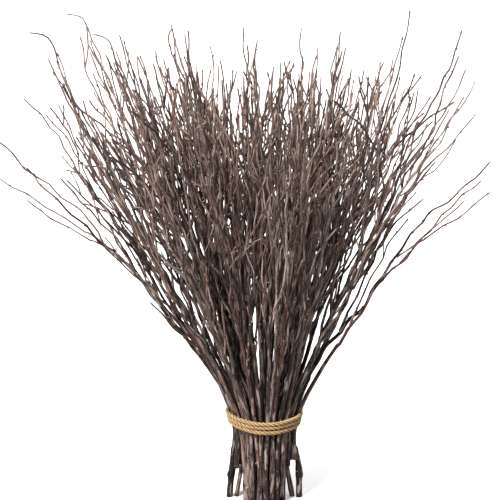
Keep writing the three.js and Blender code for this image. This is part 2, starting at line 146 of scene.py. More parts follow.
# The twine.
TWINE_RADIUS = 2.0
TWINE_START = 69.4
TWINE_PITCH = 4.25
TWINE_TURNS = 3
TWINE_STEPS = 48  # points on its route for each turn
TWINE_DIP = 2.6  # how much higher the twine runs at the back than at the front
TWINE_SADDLE = 2.4  # and at the sides than midway between front and back
TWINE_WANDER = 0.45  # how far it strays up and down
PLIES = 3
PLY_SIDES = 9
PLY_RADIUS = 0.96
PLY_CENTRE = 1.1  # from the middle of the twine to the middle of a ply
LAY_LENGTH = 13.0  # of twine for one turn of its plies
KNOT_SWING = 4.0  # half the width of the knot
KNOT_BULGE = 0.9
KNOT_DEPTH = 1.9
KNOT_CLEAR = 4.2  # how far behind the turns it sits
TAILS = ((-1, 26.0), (1, 19.0))  # the side on which each tail hangs, and how low
FIBRE_LEAN = (1.1, 1.1, 3.1)  # the most that a loose fibre turns, about its own three axes
FIBRE_SHARES = (0.4, 1.3)  # the least and the most of its usual length


# -------- lines in space

def unit(vectors):
    """The same directions, each of length one."""
    return vectors / np.maximum(np.linalg.norm(vectors, axis=-1, keepdims=True), 1e-9)


def lengths_along(line):
    """How far along the line each of its points lies."""
    gaps = np.linalg.norm(np.diff(line, axis=0), axis=1)
    return np.concatenate([[0.0], np.cumsum(gaps)])


def headings(line):
    """Which way the line runs at each of its points."""
    return unit(np.gradient(line, axis=0))


def smooth_line(stations, radii):
    """An even line through the stations of a limb, with its thickness.

    Each piece is a cubic curve that leaves one station and reaches the next along their slopes.
    """
    stations, radii = np.asarray(stations, float), np.asarray(radii, float)
    place = lengths_along(stations)
    slope = np.gradient(stations, place, axis=0)
    fine = np.linspace(0.0, place[-1], max(int(place[-1]), 8))
    k = np.clip(np.searchsorted(place, fine, side="right") - 1, 0, len(place) - 2)
    gap = place[k + 1] - place[k]
    t = ((fine - place[k]) / gap)[:, None]
    gap = gap[:, None]
    line = (
        (2 * t**3 - 3 * t**2 + 1) * stations[k]
        + (t**3 - 2 * t**2 + t) * gap * slope[k]
        + (3 * t**2 - 2 * t**3) * stations[k + 1]
        + (t**3 - t**2) * gap * slope[k + 1]
    )
    return even_line(line, np.interp(fine, place, radii))


def even_line(line, radii):
    """The same line with its points a step apart, and its thickness there."""
    place = lengths_along(line)
    even = np.linspace(0.0, place[-1], max(int(round(place[-1] / STEP)), 3) + 1)
    spread = np.column_stack([np.interp(even, place, line[:, axis]) for axis in range(3)])
    return spread, np.interp(even, place, radii)


def crosswise(line):
    """Two directions square to a line, steady from one end to the other."""
    along = headings(line)
    middle = along[len(along) // 2]
    upright = abs(middle[2]) >= 0.95
    guide = unit(np.cross(middle, [1.0, 0.2, 0.0] if upright else [0.31, 0.52, 0.79]))
    side = unit(guide - np.sum(along * guide, axis=1, keepdims=True) * along)
    return np.cross(side, along), side, along


# -------- bark

class Wood:
    """Gathers the bark of one twig's limbs into a mesh, with what its colours follow."""

    GRAIN_RADIUS = 2.4  # the bark's pattern is drawn as on a rod of this radius
    OUT_OF_ROUND = (0.05, 0.03)  # a thick limb's unevenness, and a thin one's
    THICK = 1.3
    WINDINGS = (31, 17)  # lengths over which the ridges of a limb wind round it

    def __init__(self, seed):
        self.rng = np.random.default_rng(seed)
        self.tint = self.rng.random()
        self.cut_from = self.rng.uniform(-200, 200, 3)
        self.places, self.grain, self.girth, self.cut, self.tints = [], [], [], [], []
        self.limb_tint = self.tint
        self.faces, self.buds = [], []
        self.count = 0

    def add_corners(self, places, grain, girth, cut):
        """Adds corners with what their colour follows, and gives the number of the first."""
        first = self.count
        self.places.append(places)
        self.grain.append(grain + self.cut_from)
        self.girth.append(np.full(len(places), girth))
        self.cut.append(np.full(len(places), cut))
        self.tints.append(np.full(len(places), self.limb_tint))
        self.count += len(places)
        return first

    def close(self, ring, centre, grain, radius, pale):
        """Closes a ring of corners. A sawn or snapped end shows a disc of pale wood inside its bark."""
        if pale:
            corners = np.concatenate(self.places)[ring]
            inset = centre + (corners - centre) * WOOD_SHARE
            first = self.add_corners(inset, grain, radius, 1.0)
            inner = np.arange(first, first + len(ring))
            self.faces += [list(f) for f in zip(ring, np.roll(ring, -1), np.roll(inner, -1), inner)]
            ring = inner
        self.faces.append(list(ring))

    def limb(self, line, radii, sides, start=0.0, knots=(), foot=False, end="tip"):
        """A round limb along a line, a little out of true, with swellings where the knots are."""
        across, side, along = crosswise(line)
        self.limb_tint = self.tint if foot else abs(self.tint + self.rng.normal(0, TINT_PLAY)) % 1.0
        if foot:
            along[0] = UP
            side[0] = unit(side[0] - side[0][2] * UP)
            across[0] = np.cross(side[0], along[0])
        place = lengths_along(line) + start
        turn = np.arange(sides) * TAU / sides
        rough = self.OUT_OF_ROUND[0 if radii[0] > self.THICK else 1]
        phase = self.rng.uniform(0, TAU, 3)
        oval = np.sin(2 * turn[None] + phase[0] + place[:, None] / self.WINDINGS[0])
        ridge = np.sin(3 * turn[None] + phase[1] - place[:, None] / self.WINDINGS[1])
        ring = 1 + rough * (0.6 * oval + 0.4 * ridge) + self.rng.normal(0, rough * 0.3, (len(line), sides))
        for at, facing, size, width in knots:
            swell = size * np.exp(-(((place - at) / width) ** 2))
            ring += swell[:, None] * (0.65 + 0.35 * np.cos(turn - facing))[None]
        ring *= radii[:, None]
        corners = (
            line[:, None]
            + across[:, None] * (ring * np.cos(turn))[..., None]
            + side[:, None] * (ring * np.sin(turn))[..., None]
        )
        grain = np.empty_like(corners)
        grain[..., 0] = self.GRAIN_RADIUS * np.cos(turn)
        grain[..., 1] = self.GRAIN_RADIUS * np.sin(turn)
        grain[..., 2] = place[:, None]
        first = self.add_corners(
            corners.reshape(-1, 3), grain.reshape(-1, 3), np.repeat(radii, sides), 0.0
        )
        index = first + np.arange(len(line) * sides).reshape(len(line), sides)
        low, high = index[:-1], index[1:]
        quads = np.stack([low, np.roll(low, -1, 1), np.roll(high, -1, 1), high], axis=-1)
        self.faces += quads.reshape(-1, 4).tolist()
        self.close(index[0][::-1], line[0], grain[0], radii[0], pale=foot)
        self.close(index[-1], line[-1], grain[-1], radii[-1], pale=end == "cut")

    def bud(self, place, heading, size):
        """Leaves a loose point where a bud belongs."""
        self.buds.append((place, heading, size))

    def mesh(self, name):
        """The twig's mesh, with a loose point for each bud."""
        bud_at, bud_heading, bud_size = (np.array(values) for values in zip(*self.buds))
        places = np.concatenate([*self.places, bud_at])
        made = bpy.data.meshes.new(name)
        made.from_pydata((places * MM).tolist(), [], self.faces)

        def keep(title, on_bark, on_buds):
            whole = np.concatenate([on_bark, on_buds])
            kind, field = ("FLOAT_VECTOR", "vector") if whole.ndim == 2 else ("FLOAT", "value")
            made.attributes.new(title, kind, "POINT").data.foreach_set(field, whole.ravel())

        buds = len(self.buds)
        keep("grain", np.concatenate(self.grain) * MM, bud_at * MM)
        keep("girth", np.concatenate(self.girth), np.full(buds, BUD_GIRTH))
        keep("cut", np.concatenate(self.cut), np.zeros(buds))
        keep("tint", np.concatenate(self.tints), np.full(buds, self.tint))
        keep("bud", np.zeros(self.count), bud_size * MM)
        keep("pointing", np.zeros((self.count, 3)), bud_heading)
        made.polygons.foreach_set("use_smooth", [len(f) == 4 for f in self.faces])
        made.update()
        return made


def sides_for(radius):
    """How many sides a limb of this radius has."""
    return next(sides for least, sides in SIDES if radius > least)


# -------- growth

def node_places(place, start, rng, spacing):
    """Where a limb has its nodes: none before start, and closer together towards its tip."""
    at, nodes = start + rng.uniform(0, 12), []
    while at < place[-1] - 5:
        nodes.append(at)
        at += rng.uniform(*spacing) * (1 - 0.3 * at / place[-1])
    return np.array(nodes)


def sway(line, rng, size, begin):
    """Slow bends that a twig grew with, none before begin."""
    across, side, _ = crosswise(line)
    place = lengths_along(line)
    ramp = np.clip((place - begin) / 90, 0, 1)[:, None]
    moved = line.copy()
    for wave, share in ((150, 1.0), (83, 0.5), (47, 0.3)):
        for way in (across, side):
            bend = np.sin(TAU * place / (wave * rng.uniform(0.85, 1.15)) + rng.uniform(0, TAU))
            moved += ramp * way * (bend * size * share * rng.uniform(0.5, 1.0))[:, None]
    return moved


def bow(line, rng):
    """A slight bow between the cut end and the twine."""
    rise = np.clip(line[:, 2] / BOWED_BELOW, 0, 1)
    facing = rng.uniform(0, TAU)
    moved = line.copy()
    moved[:, 0] += STEM_BOW * math.cos(facing) * np.sin(math.pi * rise) ** 2
    moved[:, 1] += STEM_BOW * math.sin(facing) * np.sin(math.pi * rise) ** 2
    return moved


def zigzag(line, nodes, facings, rng, size):
    """A twig turns a little at each node, away from the bud or shoot there."""
    if len(nodes) < 2:
        return line
    across, side, _ = crosswise(line)
    place = lengths_along(line)
    reach = -size * rng.uniform(0.5, 1.3, len(nodes))
    sideways = np.interp(place, nodes, reach * np.cos(facings), left=0.0)
    upways = np.interp(place, nodes, reach * np.sin(facings), left=0.0)
    ramp = np.clip((place - nodes[0] + 12) / 12, 0, 1)
    return line + across * (sideways * ramp)[:, None] + side * (upways * ramp)[:, None]


def shoot_line(start, parent, outward, opening, length, rng, bend_back, hook=0.0):
    """The line of a side shoot: it opens from its parent's heading and bends back towards it."""
    count = max(int(length / SHOOT_STEP), 4)
    heading = unit(parent * math.cos(opening) + outward * math.sin(opening))
    if heading[2] < LEAST_RISE:
        heading = unit(heading + (LEAST_RISE - heading[2]) * 1.5 * UP)
    wanted = unit(parent + SKYWARD * UP)
    drift = rng.normal(0, 1, 3) * DRIFT
    at, line = start.copy(), [start.copy()]
    for i in range(count):
        share = i / count
        pull = bend_back * (1 - share)
        heading = unit(heading + pull * (wanted - heading) + drift + rng.normal(0, 1, 3) * UNEVEN)
        if hook and share > 0.6:
            heading = unit(heading + hook * outward * 0.16)
        at = at + heading * SHOOT_STEP
        line.append(at.copy())
    return within_crown(np.array(line), rng)


def within_crown(line, rng):
    """The stretch of a shoot that stays under the crown's top and inside its sides."""
    dip, reach = CROWN_DIP
    aside = np.minimum(abs(line[:, 0]) / reach, 1.0)
    top = rng.normal(*CEILING) - BACKWARD_DROP * line[:, 1] + dip * (aside - 0.6)
    low, high = (np.array(corner) / MM for corner in cad_box)
    fine = (line[:, 2] < top) & np.all((line > low - BOX_MARGIN) & (line < high + BOX_MARGIN), axis=1)
    heights, edges = np.array(CROWN_EDGE).T
    out = np.hypot(line[:, 0] - CROWN_LEAN * line[:, 2], line[:, 1] / CROWN_DEPTH)
    fine &= out < np.interp(line[:, 2], heights, edges) * rng.uniform(*EDGE_PLAY)
    fine[0] = True
    return line if fine.all() else line[: int(np.argmin(fine))]


def grow(wood, line, radii, level, begin, foot=False, start=0.0):
    """Lays a limb with its nodes, and grows what the nodes carry: buds, side shoots and stubs.

    A stem, a fork and a bough are level 0, a side shoot is 1 and a shoot on that is 2.
    """
    rng = wood.rng
    if len(line) < 4:
        return
    place = lengths_along(line)
    nodes = node_places(place, begin, rng, NODE_SPACING[level])
    turns = math.pi + rng.normal(0, 0.5, len(nodes))
    facings = rng.uniform(0, TAU) + np.cumsum(turns)
    line = zigzag(line, nodes, facings, rng, ZIGZAG[level])
    knots = [(at + start, facing, rng.uniform(0.15, 0.4), 1.5) for at, facing in zip(nodes, facings)]
    if foot:
        knots += low_knots(rng, radii[0] > LEG_RADIUS, line[0][2])
    wood.limb(line, radii, sides_for(radii[0]), start, knots, foot)
    across, side, along = crosswise(line)
    for at, facing in zip(nodes, facings):
        i = min(int(round(at / place[-1] * (len(line) - 1))), len(line) - 2)
        outward = across[i] * math.cos(facing) + side[i] * math.sin(facing)
        carry(wood, line[i], along[i], outward, radii[i], place[-1] - at, level)
    wood.bud(line[-1] - along[-1] * 0.6, along[-1], rng.uniform(*END_BUD))
    if foot:
        low_stubs(wood, line, radii)


def low_knots(rng, leg, height):
    """Swellings on a stem near its cut end, where it once branched."""
    outward = rng.uniform(0, TAU)
    if leg:
        return [(at, outward + turn, size, width) for at, turn, size, width in LEG_KNOTS]
    knots = []
    if rng.random() < 0.75 and height < 10:
        knots.append((rng.uniform(8, 30), outward, rng.uniform(0.16, 0.34), rng.uniform(2, 3.6)))
    if rng.random() < 0.5 and height < 10:
        knots.append((rng.uniform(34, 54), outward + 2.2, rng.uniform(0.12, 0.26), rng.uniform(1.6, 3)))
    return knots


def low_stubs(wood, line, radii):
    """Side branches that were cut off short, low on a stem."""
    rng = wood.rng
    along = headings(line)
    for _ in range(rng.choice(len(STUBS), p=STUBS)):
        height = rng.choice([rng.uniform(*band) for band in STUB_HEIGHTS])
        i = int(np.searchsorted(line[:, 2], max(height, line[2][2])))
        facing = math.atan2(line[i][1], line[i][0]) + rng.uniform(-0.9, 0.9)
        outward = np.array([math.cos(facing), math.sin(facing), 0.0])
        outward = unit(outward - np.dot(outward, along[i]) * along[i])
        heading = unit(along[i] * 1.1 + outward)
        length = radii[i] + rng.uniform(1.2, 4.5)
        stub = line[i] + heading * np.linspace(0, length, 4)[:, None]
        width = radii[i] * rng.uniform(0.38, 0.6)
        wood.limb(stub, width * np.array([1.25, 1.05, 1.0, 1.0]), 7, height, end="cut")


def favour(outward):
    """Shoots come mostly on the upper side of a limb that leans."""
    return min(max(0.75 + 1.2 * outward[2], 0.12), 1.3)


def carry(wood, at, along, outward, radius, left, level):
    """What one node carries: a side shoot, a bud, a stub or nothing."""
    rng = wood.rng
    chance = SHOOT_CHANCE[level] * favour(outward) * np.interp(at[2], *SHOOTS_BY_HEIGHT)
    if level < 2 and left > 14 and rng.random() < chance:
        usual = rng.lognormal(math.log(SHOOT_LENGTH[level]), 0.5)
        length = min(usual, left * 0.95 + 12, SHOOT_LIMIT[level])
        hook = rng.uniform(0.6, 1.8) * rng.choice([-1, 1]) if rng.random() < HOOK_CHANCE else 0.0
        opening = rng.uniform(*SHOOT_OPENING)
        line = shoot_line(at, along, outward, opening, length, rng, rng.uniform(*SHOOT_RETURN), hook)
        base = max(min(radius * rng.uniform(0.58, 0.82), SHOOT_RADIUS), TIP_RADIUS)
        radii = np.linspace(base, TIP_RADIUS * rng.uniform(0.85, 1.1), len(line))
        if len(line) > 3:
            radii[0] *= 1.3
        grow(wood, line, radii, level + 1, SHOOT_BARE, start=rng.uniform(0, 100))
    elif radius < 2.1 and rng.random() < 0.6:
        heading = unit(along + outward * rng.uniform(0.3, 0.8))
        wood.bud(at + outward * radius * 0.7, heading, rng.uniform(*SIDE_BUD))
    elif rng.random() < 0.35:
        length = radius + rng.uniform(1.0, 3.5)
        stub = at + unit(along + outward) * np.linspace(0, length, 3)[:, None]
        wood.limb(stub, np.full(3, max(radius * 0.42, 0.5)), 5, end="cut")


def boughs(wood, line, radii, count, lowest=0.28):
    """Long side limbs that leave a stem in the lower crown and run up beside it."""
    rng = wood.rng
    across, side, along = crosswise(line)
    length = lengths_along(line)[-1]
    for k in range(count):
        share = lowest + BOUGH_SPAN * (k + rng.uniform(0.1, 0.9)) / count
        i = int(share * (len(line) - 1))
        ways = [across[i] * math.cos(a) + side[i] * math.sin(a) for a in rng.uniform(0, TAU, 3)]
        outward = max(ways, key=favour)
        reach = rng.uniform(*BOUGH_REACH) * (1 - share) * length
        opening = rng.uniform(*BOUGH_OPENING)
        bough = shoot_line(line[i], along[i], outward, opening, reach, rng, BOUGH_RETURN)
        width = np.linspace(radii[i] * rng.uniform(*BOUGH_WIDTH), TIP_RADIUS * 1.15, len(bough))
        width[:2] *= 1.12
        grow(wood, bough, width, 0, BOUGH_BARE, start=rng.uniform(0, 100))


# -------- the twigs that have a solid each

def merged(node):
    """A solid's corners, in millimetres, and which of them share an edge."""
    mesh = node.data
    corners = np.empty(len(mesh.vertices) * 3)
    mesh.vertices.foreach_get("co", corners)
    corners = np.round(corners.reshape(-1, 3) / MM, 3)
    places, same = np.unique(corners, axis=0, return_inverse=True)
    same = same.ravel()
    near = [set() for _ in places]
    for face in mesh.polygons:
        ring = [same[v] for v in face.vertices]
        for a, b in zip(ring, ring[1:] + ring[:1]):
            if a != b:
                near[a].add(b)
                near[b].add(a)
    return places, near


def parts_of(corners, near):
    """Groups of these corners that hold together."""
    left, groups = set(corners), []
    while left:
        group, edge = set(), {left.pop()}
        while edge:
            group |= edge
            edge = {n for c in edge for n in near[c]} & left
            left -= edge
        groups.append(sorted(group))
    return groups


def limbs_of(node):
    """The main line of a twig and its side limbs, each as its stations and their thickness.

    A solid is rings of corners from the cut end up, and a ring parts into two at a fork.
    """
    places, near = merged(node)
    ring = [int(i) for i in np.flatnonzero(places[:, 2] < places[:, 2].min() + 0.002)]
    limbs = []

    def measure(group):
        corners = places[group]
        centre = corners.mean(axis=0)
        return centre, float(np.linalg.norm(corners - centre, axis=1).mean())

    def follow(group, seen, stations):
        while True:
            seen |= set(group)
            reached = {n for c in group for n in near[c]} - seen
            if not reached:
                return stations
            ways = sorted(parts_of(reached, near), key=lambda g: measure(g)[1])
            if len(ways) == 2:
                fork = stations[-1]
                child = [(fork[0], fork[1] * FORK_SHARE), measure(ways[0])]
                limbs.append(follow(ways[0], seen | reached, child))
                seen |= set(ways[0])
            group = ways[-1]
            stations.append(measure(group))

    main = follow(ring, set(), [measure(ring)])
    return [main, *limbs]


def own_radii(limb):
    """A limb's thickness at its stations, with its bark on."""
    radii = np.array([r for _, r in limb])
    return np.maximum(radii * WITH_BARK, TIP_RADIUS)


def hooked_over(line, radii):
    """The same limb with its end bent over sideways, away from the middle of the crown."""
    bent = line[:-HOOKED_RINGS]
    heading = unit(bent[-1] - bent[-2])
    aside = np.array([math.copysign(1.0, bent[-1][0]), 0.0, 0.12])
    for k in range(HOOKED_RINGS + 2):
        pull = 0.04 if k < HOOKED_RINGS - 2 else 0.42  # gently, then sharply at the very end
        heading = unit(heading + pull * (aside - heading))
        bent = np.concatenate([bent, [bent[-1] + heading * STEP]])
    return bent, np.concatenate([radii, radii[-2:]])


def stem_twig(node, seed):
    """A twig grown over its solid: the same line and forks, with all that the solid leaves out.

    Also its main line and thickness, which the twine is laid round.
    """
    wood = Wood(seed)
    main, *others = limbs_of(node)
    if main[0][1] > LEG_RADIUS:
        wood.tint = LEG_TINT
    lines = [smooth_line([p for p, _ in limb], own_radii(limb)) for limb in (main, *others)]
    for order, (line, radii) in enumerate(lines):
        if order == 0:
            if line[-1][2] > HOOKED_ABOVE and line[-1][0] < HOOKED_BEYOND:
                line, radii = hooked_over(line, radii)
            line = bow(sway(line, wood.rng, STEM_SWAY, STILL_BELOW), wood.rng)
            grow(wood, line, radii, 0, STEM_BARE, foot=True)
            boughs(wood, line, radii, BOUGHS)
        else:
            stem = lines[0][0]
            nearest = stem[np.argmin(np.linalg.norm(stem - line[0], axis=1))]
            line = sway(line, wood.rng, FORK_SWAY, 0.0)
            line[0] = nearest
            grow(wood, line, radii, 0, FORK_BARE)
    return wood, lines[0]


# -------- the inner twigs

def curve(points, count):
    """A line eased through four guide points."""
    t = np.linspace(0, 1, count)[:, None]
    a, b, c, d = (np.asarray(p, float) for p in points)
    return (1 - t) ** 3 * a + 3 * t * (1 - t) ** 2 * b + 3 * t**2 * (1 - t) * c + t**3 * d


def inner_places():
    """Packed places for the inner twigs at the waist."""
    found = []
    for row in range(-4, 5):
        for column in range(-5, 6):
            x = (column + 0.5 * (row % 2)) * INNER_PITCH
            y = row * INNER_PITCH * math.sqrt(0.75)
            if math.hypot(x, y) + INNER_THICKNESS[1] / 2 < INNER_REACH + 0.25:
                found.append((x, y))
    return found


def inner_twig(place, seed):
    """A thin twig from inside the bundle, which rises into the middle of the crown."""
    wood = Wood(seed)
    rng = wood.rng
    # painted shade: the inner twigs get the darker tints
    wood.tint = rng.uniform(*INNER_TINT)
    out = math.hypot(*place)
    bearing = math.atan2(place[1], place[0]) + rng.normal(0, 0.3)
    bearing -= 0.4 * math.sin(2 * bearing)  # more of them lean to the sides than to the front and back
    reach = out / INNER_REACH * rng.uniform(*INNER_SPREAD) + rng.uniform(0, 20)
    foot = np.array([place[0] * INNER_FOOT_SPREAD, place[1] * INNER_FOOT_SPREAD, 0.0])
    foot[2] = rng.uniform(*INNER_SHORT_BY) if rng.random() < INNER_CUT_SHORT else 0.0
    waist = np.array([place[0], place[1], WAIST])
    height = rng.uniform(*INNER_HEIGHT) - 0.3 * max(reach - 110, 0)
    tip = np.array([reach * math.cos(bearing) - 0.03 * height, 0.8 * reach * math.sin(bearing), height])
    lean = unit(np.array([place[0] * 0.0045, place[1] * 0.0045, 1.0]))
    low = curve([foot, foot + (waist - foot) * 0.4, waist - lean * 21, waist], 24)
    finish = unit(unit(tip - waist) * 1.3 + [math.cos(bearing) * 0.1, math.sin(bearing) * 0.1, 0.2])
    high = curve([waist, waist + lean * 50, tip - finish * 130, tip], 90)
    line, _ = even_line(np.concatenate([low, high[1:]]), np.zeros(len(low) + len(high) - 1))
    share = np.linspace(0, 1, len(line))
    thick = rng.uniform(*INNER_THICKNESS) / 2
    radii = np.maximum(thick * (1 - 0.8 * share**0.8), TIP_RADIUS)
    line = sway(line, rng, INNER_SWAY, STILL_BELOW + 6)
    grow(wood, line, radii, 0, INNER_BARE, foot=True)
    boughs(wood, line, radii, INNER_BOUGHS, lowest=0.38)
    return wood


# -------- node trees

class Nodes:
    """Adds nodes to a group."""

    def __init__(self, group):
        self.group = group

    def node(self, kind, *values, **settings):
        """Adds a node. A value is given by position, or as (socket number, value)."""
        made = self.group.nodes.new(kind)
        for name, setting in settings.items():
            setattr(made, name, setting)
        for number, value in enumerate(values):
            if isinstance(value, tuple) and len(value) == 2 and isinstance(value[0], int):
                number, value = value
            if isinstance(value, bpy.types.NodeSocket):
                self.group.links.new(value, made.inputs[number])
            elif value is not None:
                made.inputs[number].default_value = value
        return made

    def out(self, kind, *values, **settings):
        """Adds a node and gives its first output."""
        return self.node(kind, *values, **settings).outputs[0]

    def sum(self, operation, *values):
        return self.out("ShaderNodeMath", *values, operation=operation)


class Tree(Nodes):
    """A geometry tree in the making."""

    def __init__(self, title, sizes):
        super().__init__(bpy.data.node_groups.new(title, "GeometryNodeTree"))
        self.group.is_modifier = True
        face = self.group.interface
        face.new_socket("Geometry", in_out="INPUT", socket_type="NodeSocketGeometry")
        face.new_socket("Geometry", in_out="OUTPUT", socket_type="NodeSocketGeometry")
        for name, kind in sizes:
            face.new_socket(name, in_out="INPUT", socket_type=f"NodeSocket{kind}")
        self.start = self.group.nodes.new("NodeGroupInput")
        self.end = self.group.nodes.new("NodeGroupOutput")

    def size(self, name):
        """One of the tree's own named inputs."""
        return self.start.outputs[name]

    def store(self, geometry, name, value, kind="FLOAT"):
        """The same geometry with one more value kept on its points."""
        return self.out("GeometryNodeStoreNamedAttribute", geometry, None, name, value, data_type=kind)

    def vector(self, operation, *values):
        made = self.node("ShaderNodeVectorMath", *values, operation=operation)
        return made.outputs[1 if operation == "LENGTH" else 0]

    def scaled(self, vector, factor):
        made = self.node("ShaderNodeVectorMath", vector, operation="SCALE")
        self.group.links.new(factor, made.inputs["Scale"])
        return made.outputs[0]

    def joined(self, *pieces):
        """Several geometries as one."""
        whole = self.node("GeometryNodeJoinGeometry")
        for piece in pieces:
            self.group.links.new(piece, whole.inputs[0])
        return whole.outputs[0]

    def attribute(self, name, kind="FLOAT"):
        return self.out("GeometryNodeInputNamedAttribute", name, data_type=kind)

    def finish(self, geometry):
        real = self.out("GeometryNodeRealizeInstances", geometry)
        coated = self.out("GeometryNodeSetMaterial", real, (2, self.size("Material")))
        self.group.links.new(coated, self.end.inputs[0])
        return self.group


def bud_tree():
    """Sets a bud on every loose point, along its heading and at its own size."""
    tree = Tree("set_buds", [("Bud Sides", "Int"), ("Bud Fullness", "Float"), ("Material", "Material")])
    line = tree.out("GeometryNodeCurvePrimitiveLine", (1, (0.0, 0.0, 1.0)))
    line = tree.out("GeometryNodeResampleCurve", line, None, 5)
    rise = tree.node("GeometryNodeSplineParameter").outputs["Factor"]
    # fullest below its middle, with a base over half as thick and a tip that isn't quite sharp
    early = tree.sum("POWER", rise, 0.7)
    swell = tree.sum("SINE", tree.sum("MULTIPLY", early, math.pi))
    swell = tree.sum("MAXIMUM", swell, tree.sum("SUBTRACT", 0.55, rise))
    swell = tree.sum("MAXIMUM", swell, 0.12)
    rim = tree.out("GeometryNodeCurvePrimitiveCircle", tree.size("Bud Sides"), (4, 1.0))
    swell = tree.sum("MULTIPLY", swell, tree.size("Bud Fullness"))
    bud = tree.out("GeometryNodeCurveToMesh", line, rim, swell, True)
    chosen = tree.sum("GREATER_THAN", tree.attribute("bud"), 0.0001)
    parted = tree.node("GeometryNodeSeparateGeometry", tree.size("Geometry"), chosen)
    pointing = tree.attribute("pointing", "FLOAT_VECTOR")
    turn = tree.out("FunctionNodeAlignRotationToVector", (2, pointing), axis="Z")
    loose = parted.outputs[0]
    buds = tree.out("GeometryNodeInstanceOnPoints", loose, (2, bud), (5, turn), (6, tree.attribute("bud")))
    return tree.finish(tree.joined(buds, parted.outputs[1]))


def twine_tree():
    """Lays plies round a line, twisted about one another, with fibres that stand out of them."""
    plies = ("Ply Radius", "Ply Centre", "Lay Length", "Ring Length")
    loose = ("Fibre Length", "Fibre Thickness", "Fibres per Area")
    sizes = [(name, "Float") for name in plies + loose]
    tree = Tree("lay_twine", [*sizes, ("Seed", "Int"), ("Material", "Material")])
    line = tree.out("GeometryNodeMeshToCurve", tree.size("Geometry"))
    line = tree.out("GeometryNodeResampleCurve", line, None, None, tree.size("Ring Length"), mode="LENGTH")
    along = tree.node("GeometryNodeSplineParameter").outputs["Length"]
    normal = tree.out("GeometryNodeInputNormal")
    tangent = tree.out("GeometryNodeInputTangent")
    beside = tree.vector("CROSS_PRODUCT", tangent, normal)
    kept = tree.store(line, "along", along)
    place = tree.out("GeometryNodeInputPosition")
    kept = tree.store(kept, "core", place, "FLOAT_VECTOR")
    reach = tree.sum("ADD", tree.size("Ply Radius"), tree.size("Ply Centre"))
    rim = tree.out("GeometryNodeCurvePrimitiveCircle", PLY_SIDES, (4, 1.0))
    share = tree.node("GeometryNodeSplineParameter").outputs["Factor"]
    rim = tree.store(rim, "around", share)
    strands = []
    for ply in range(PLIES):
        turn = tree.sum("MULTIPLY", tree.sum("DIVIDE", along, tree.size("Lay Length")), TAU)
        turn = tree.sum("ADD", turn, ply * TAU / PLIES)
        move = tree.vector(
            "ADD",
            tree.scaled(normal, tree.sum("COSINE", turn)),
            tree.scaled(beside, tree.sum("SINE", turn)),
        )
        move = tree.scaled(move, tree.size("Ply Centre"))
        strand = tree.out("GeometryNodeSetPosition", kept, (3, move))
        uneven = tree.out("ShaderNodeTexNoise", (2, 420.0))
        width = tree.sum("MULTIPLY_ADD", uneven, 0.3, 0.85)
        width = tree.sum("MULTIPLY", width, tree.size("Ply Radius"))
        strand = tree.out("GeometryNodeCurveToMesh", strand, rim, width, True)
        # how far out from the twine's middle each ply's surface lies, which the jute's painted shade in the
        # grooves follows
        inset = tree.vector("LENGTH", tree.vector("SUBTRACT", place, tree.attribute("core", "FLOAT_VECTOR")))
        inset = tree.sum("DIVIDE", inset, reach)
        strands.append(tree.store(strand, "depth", inset))
    twisted = tree.joined(*strands)

    density = tree.size("Fibres per Area")
    spots = tree.node("GeometryNodeDistributePointsOnFaces", twisted, (4, density), (6, tree.size("Seed")))
    stalk = tree.out("GeometryNodeCurvePrimitiveLine", (1, (0.0, 0.0, 1.0)))
    stalk = tree.out("GeometryNodeResampleCurve", stalk, None, 5)
    rise = tree.node("GeometryNodeSplineParameter").outputs["Factor"]
    aside = tree.sum("MULTIPLY", tree.sum("POWER", rise, 2.0), 0.5)
    bend = tree.out("ShaderNodeCombineXYZ", aside)
    stalk = tree.out("GeometryNodeSetPosition", stalk, (3, bend))
    thin = tree.out("GeometryNodeCurvePrimitiveCircle", 3, (4, 1.0))
    width = tree.sum("DIVIDE", tree.size("Fibre Thickness"), tree.size("Fibre Length"))
    fibre = tree.out("GeometryNodeCurveToMesh", stalk, thin, width, True)
    lean = tree.out(
        "FunctionNodeRandomValue",
        tuple(-angle for angle in FIBRE_LEAN),
        FIBRE_LEAN,
        (8, tree.size("Seed")),
        data_type="FLOAT_VECTOR",
    )
    turn = tree.out("FunctionNodeRotateRotation", spots.outputs["Rotation"], lean, rotation_space="LOCAL")
    least, most = FIBRE_SHARES
    share = tree.node(
        "FunctionNodeRandomValue", (2, least), (3, most), (8, tree.size("Seed")), data_type="FLOAT"
    ).outputs[1]
    long = tree.sum("MULTIPLY", share, tree.size("Fibre Length"))
    fibres = tree.out("GeometryNodeInstanceOnPoints", spots.outputs[0], (2, fibre), (5, turn), (6, long))
    return tree.finish(tree.joined(twisted, fibres))


def grown(name, mesh, tree, sizes):
    """The plain mesh that a tree makes of another, as an object at the origin."""
    made = bpy.data.objects.new(name, mesh)
    bpy.context.scene.collection.objects.link(made)
    step = made.modifiers.new("shape", "NODES")
    step.node_group = tree
    sockets = {s.name: s.identifier for s in tree.interface.items_tree if s.in_out == "INPUT"}
    for title, value in sizes.items():
        step[sockets[title]] = value
    made.update_tag()
    graph = bpy.context.evaluated_depsgraph_get()
    plain = bpy.data.meshes.new_from_object(made.evaluated_get(graph), depsgraph=graph)
    made.modifiers.clear()
    made.data = plain
    plain.name = name
    bpy.data.meshes.remove(mesh)
    return made


# -------- finishes

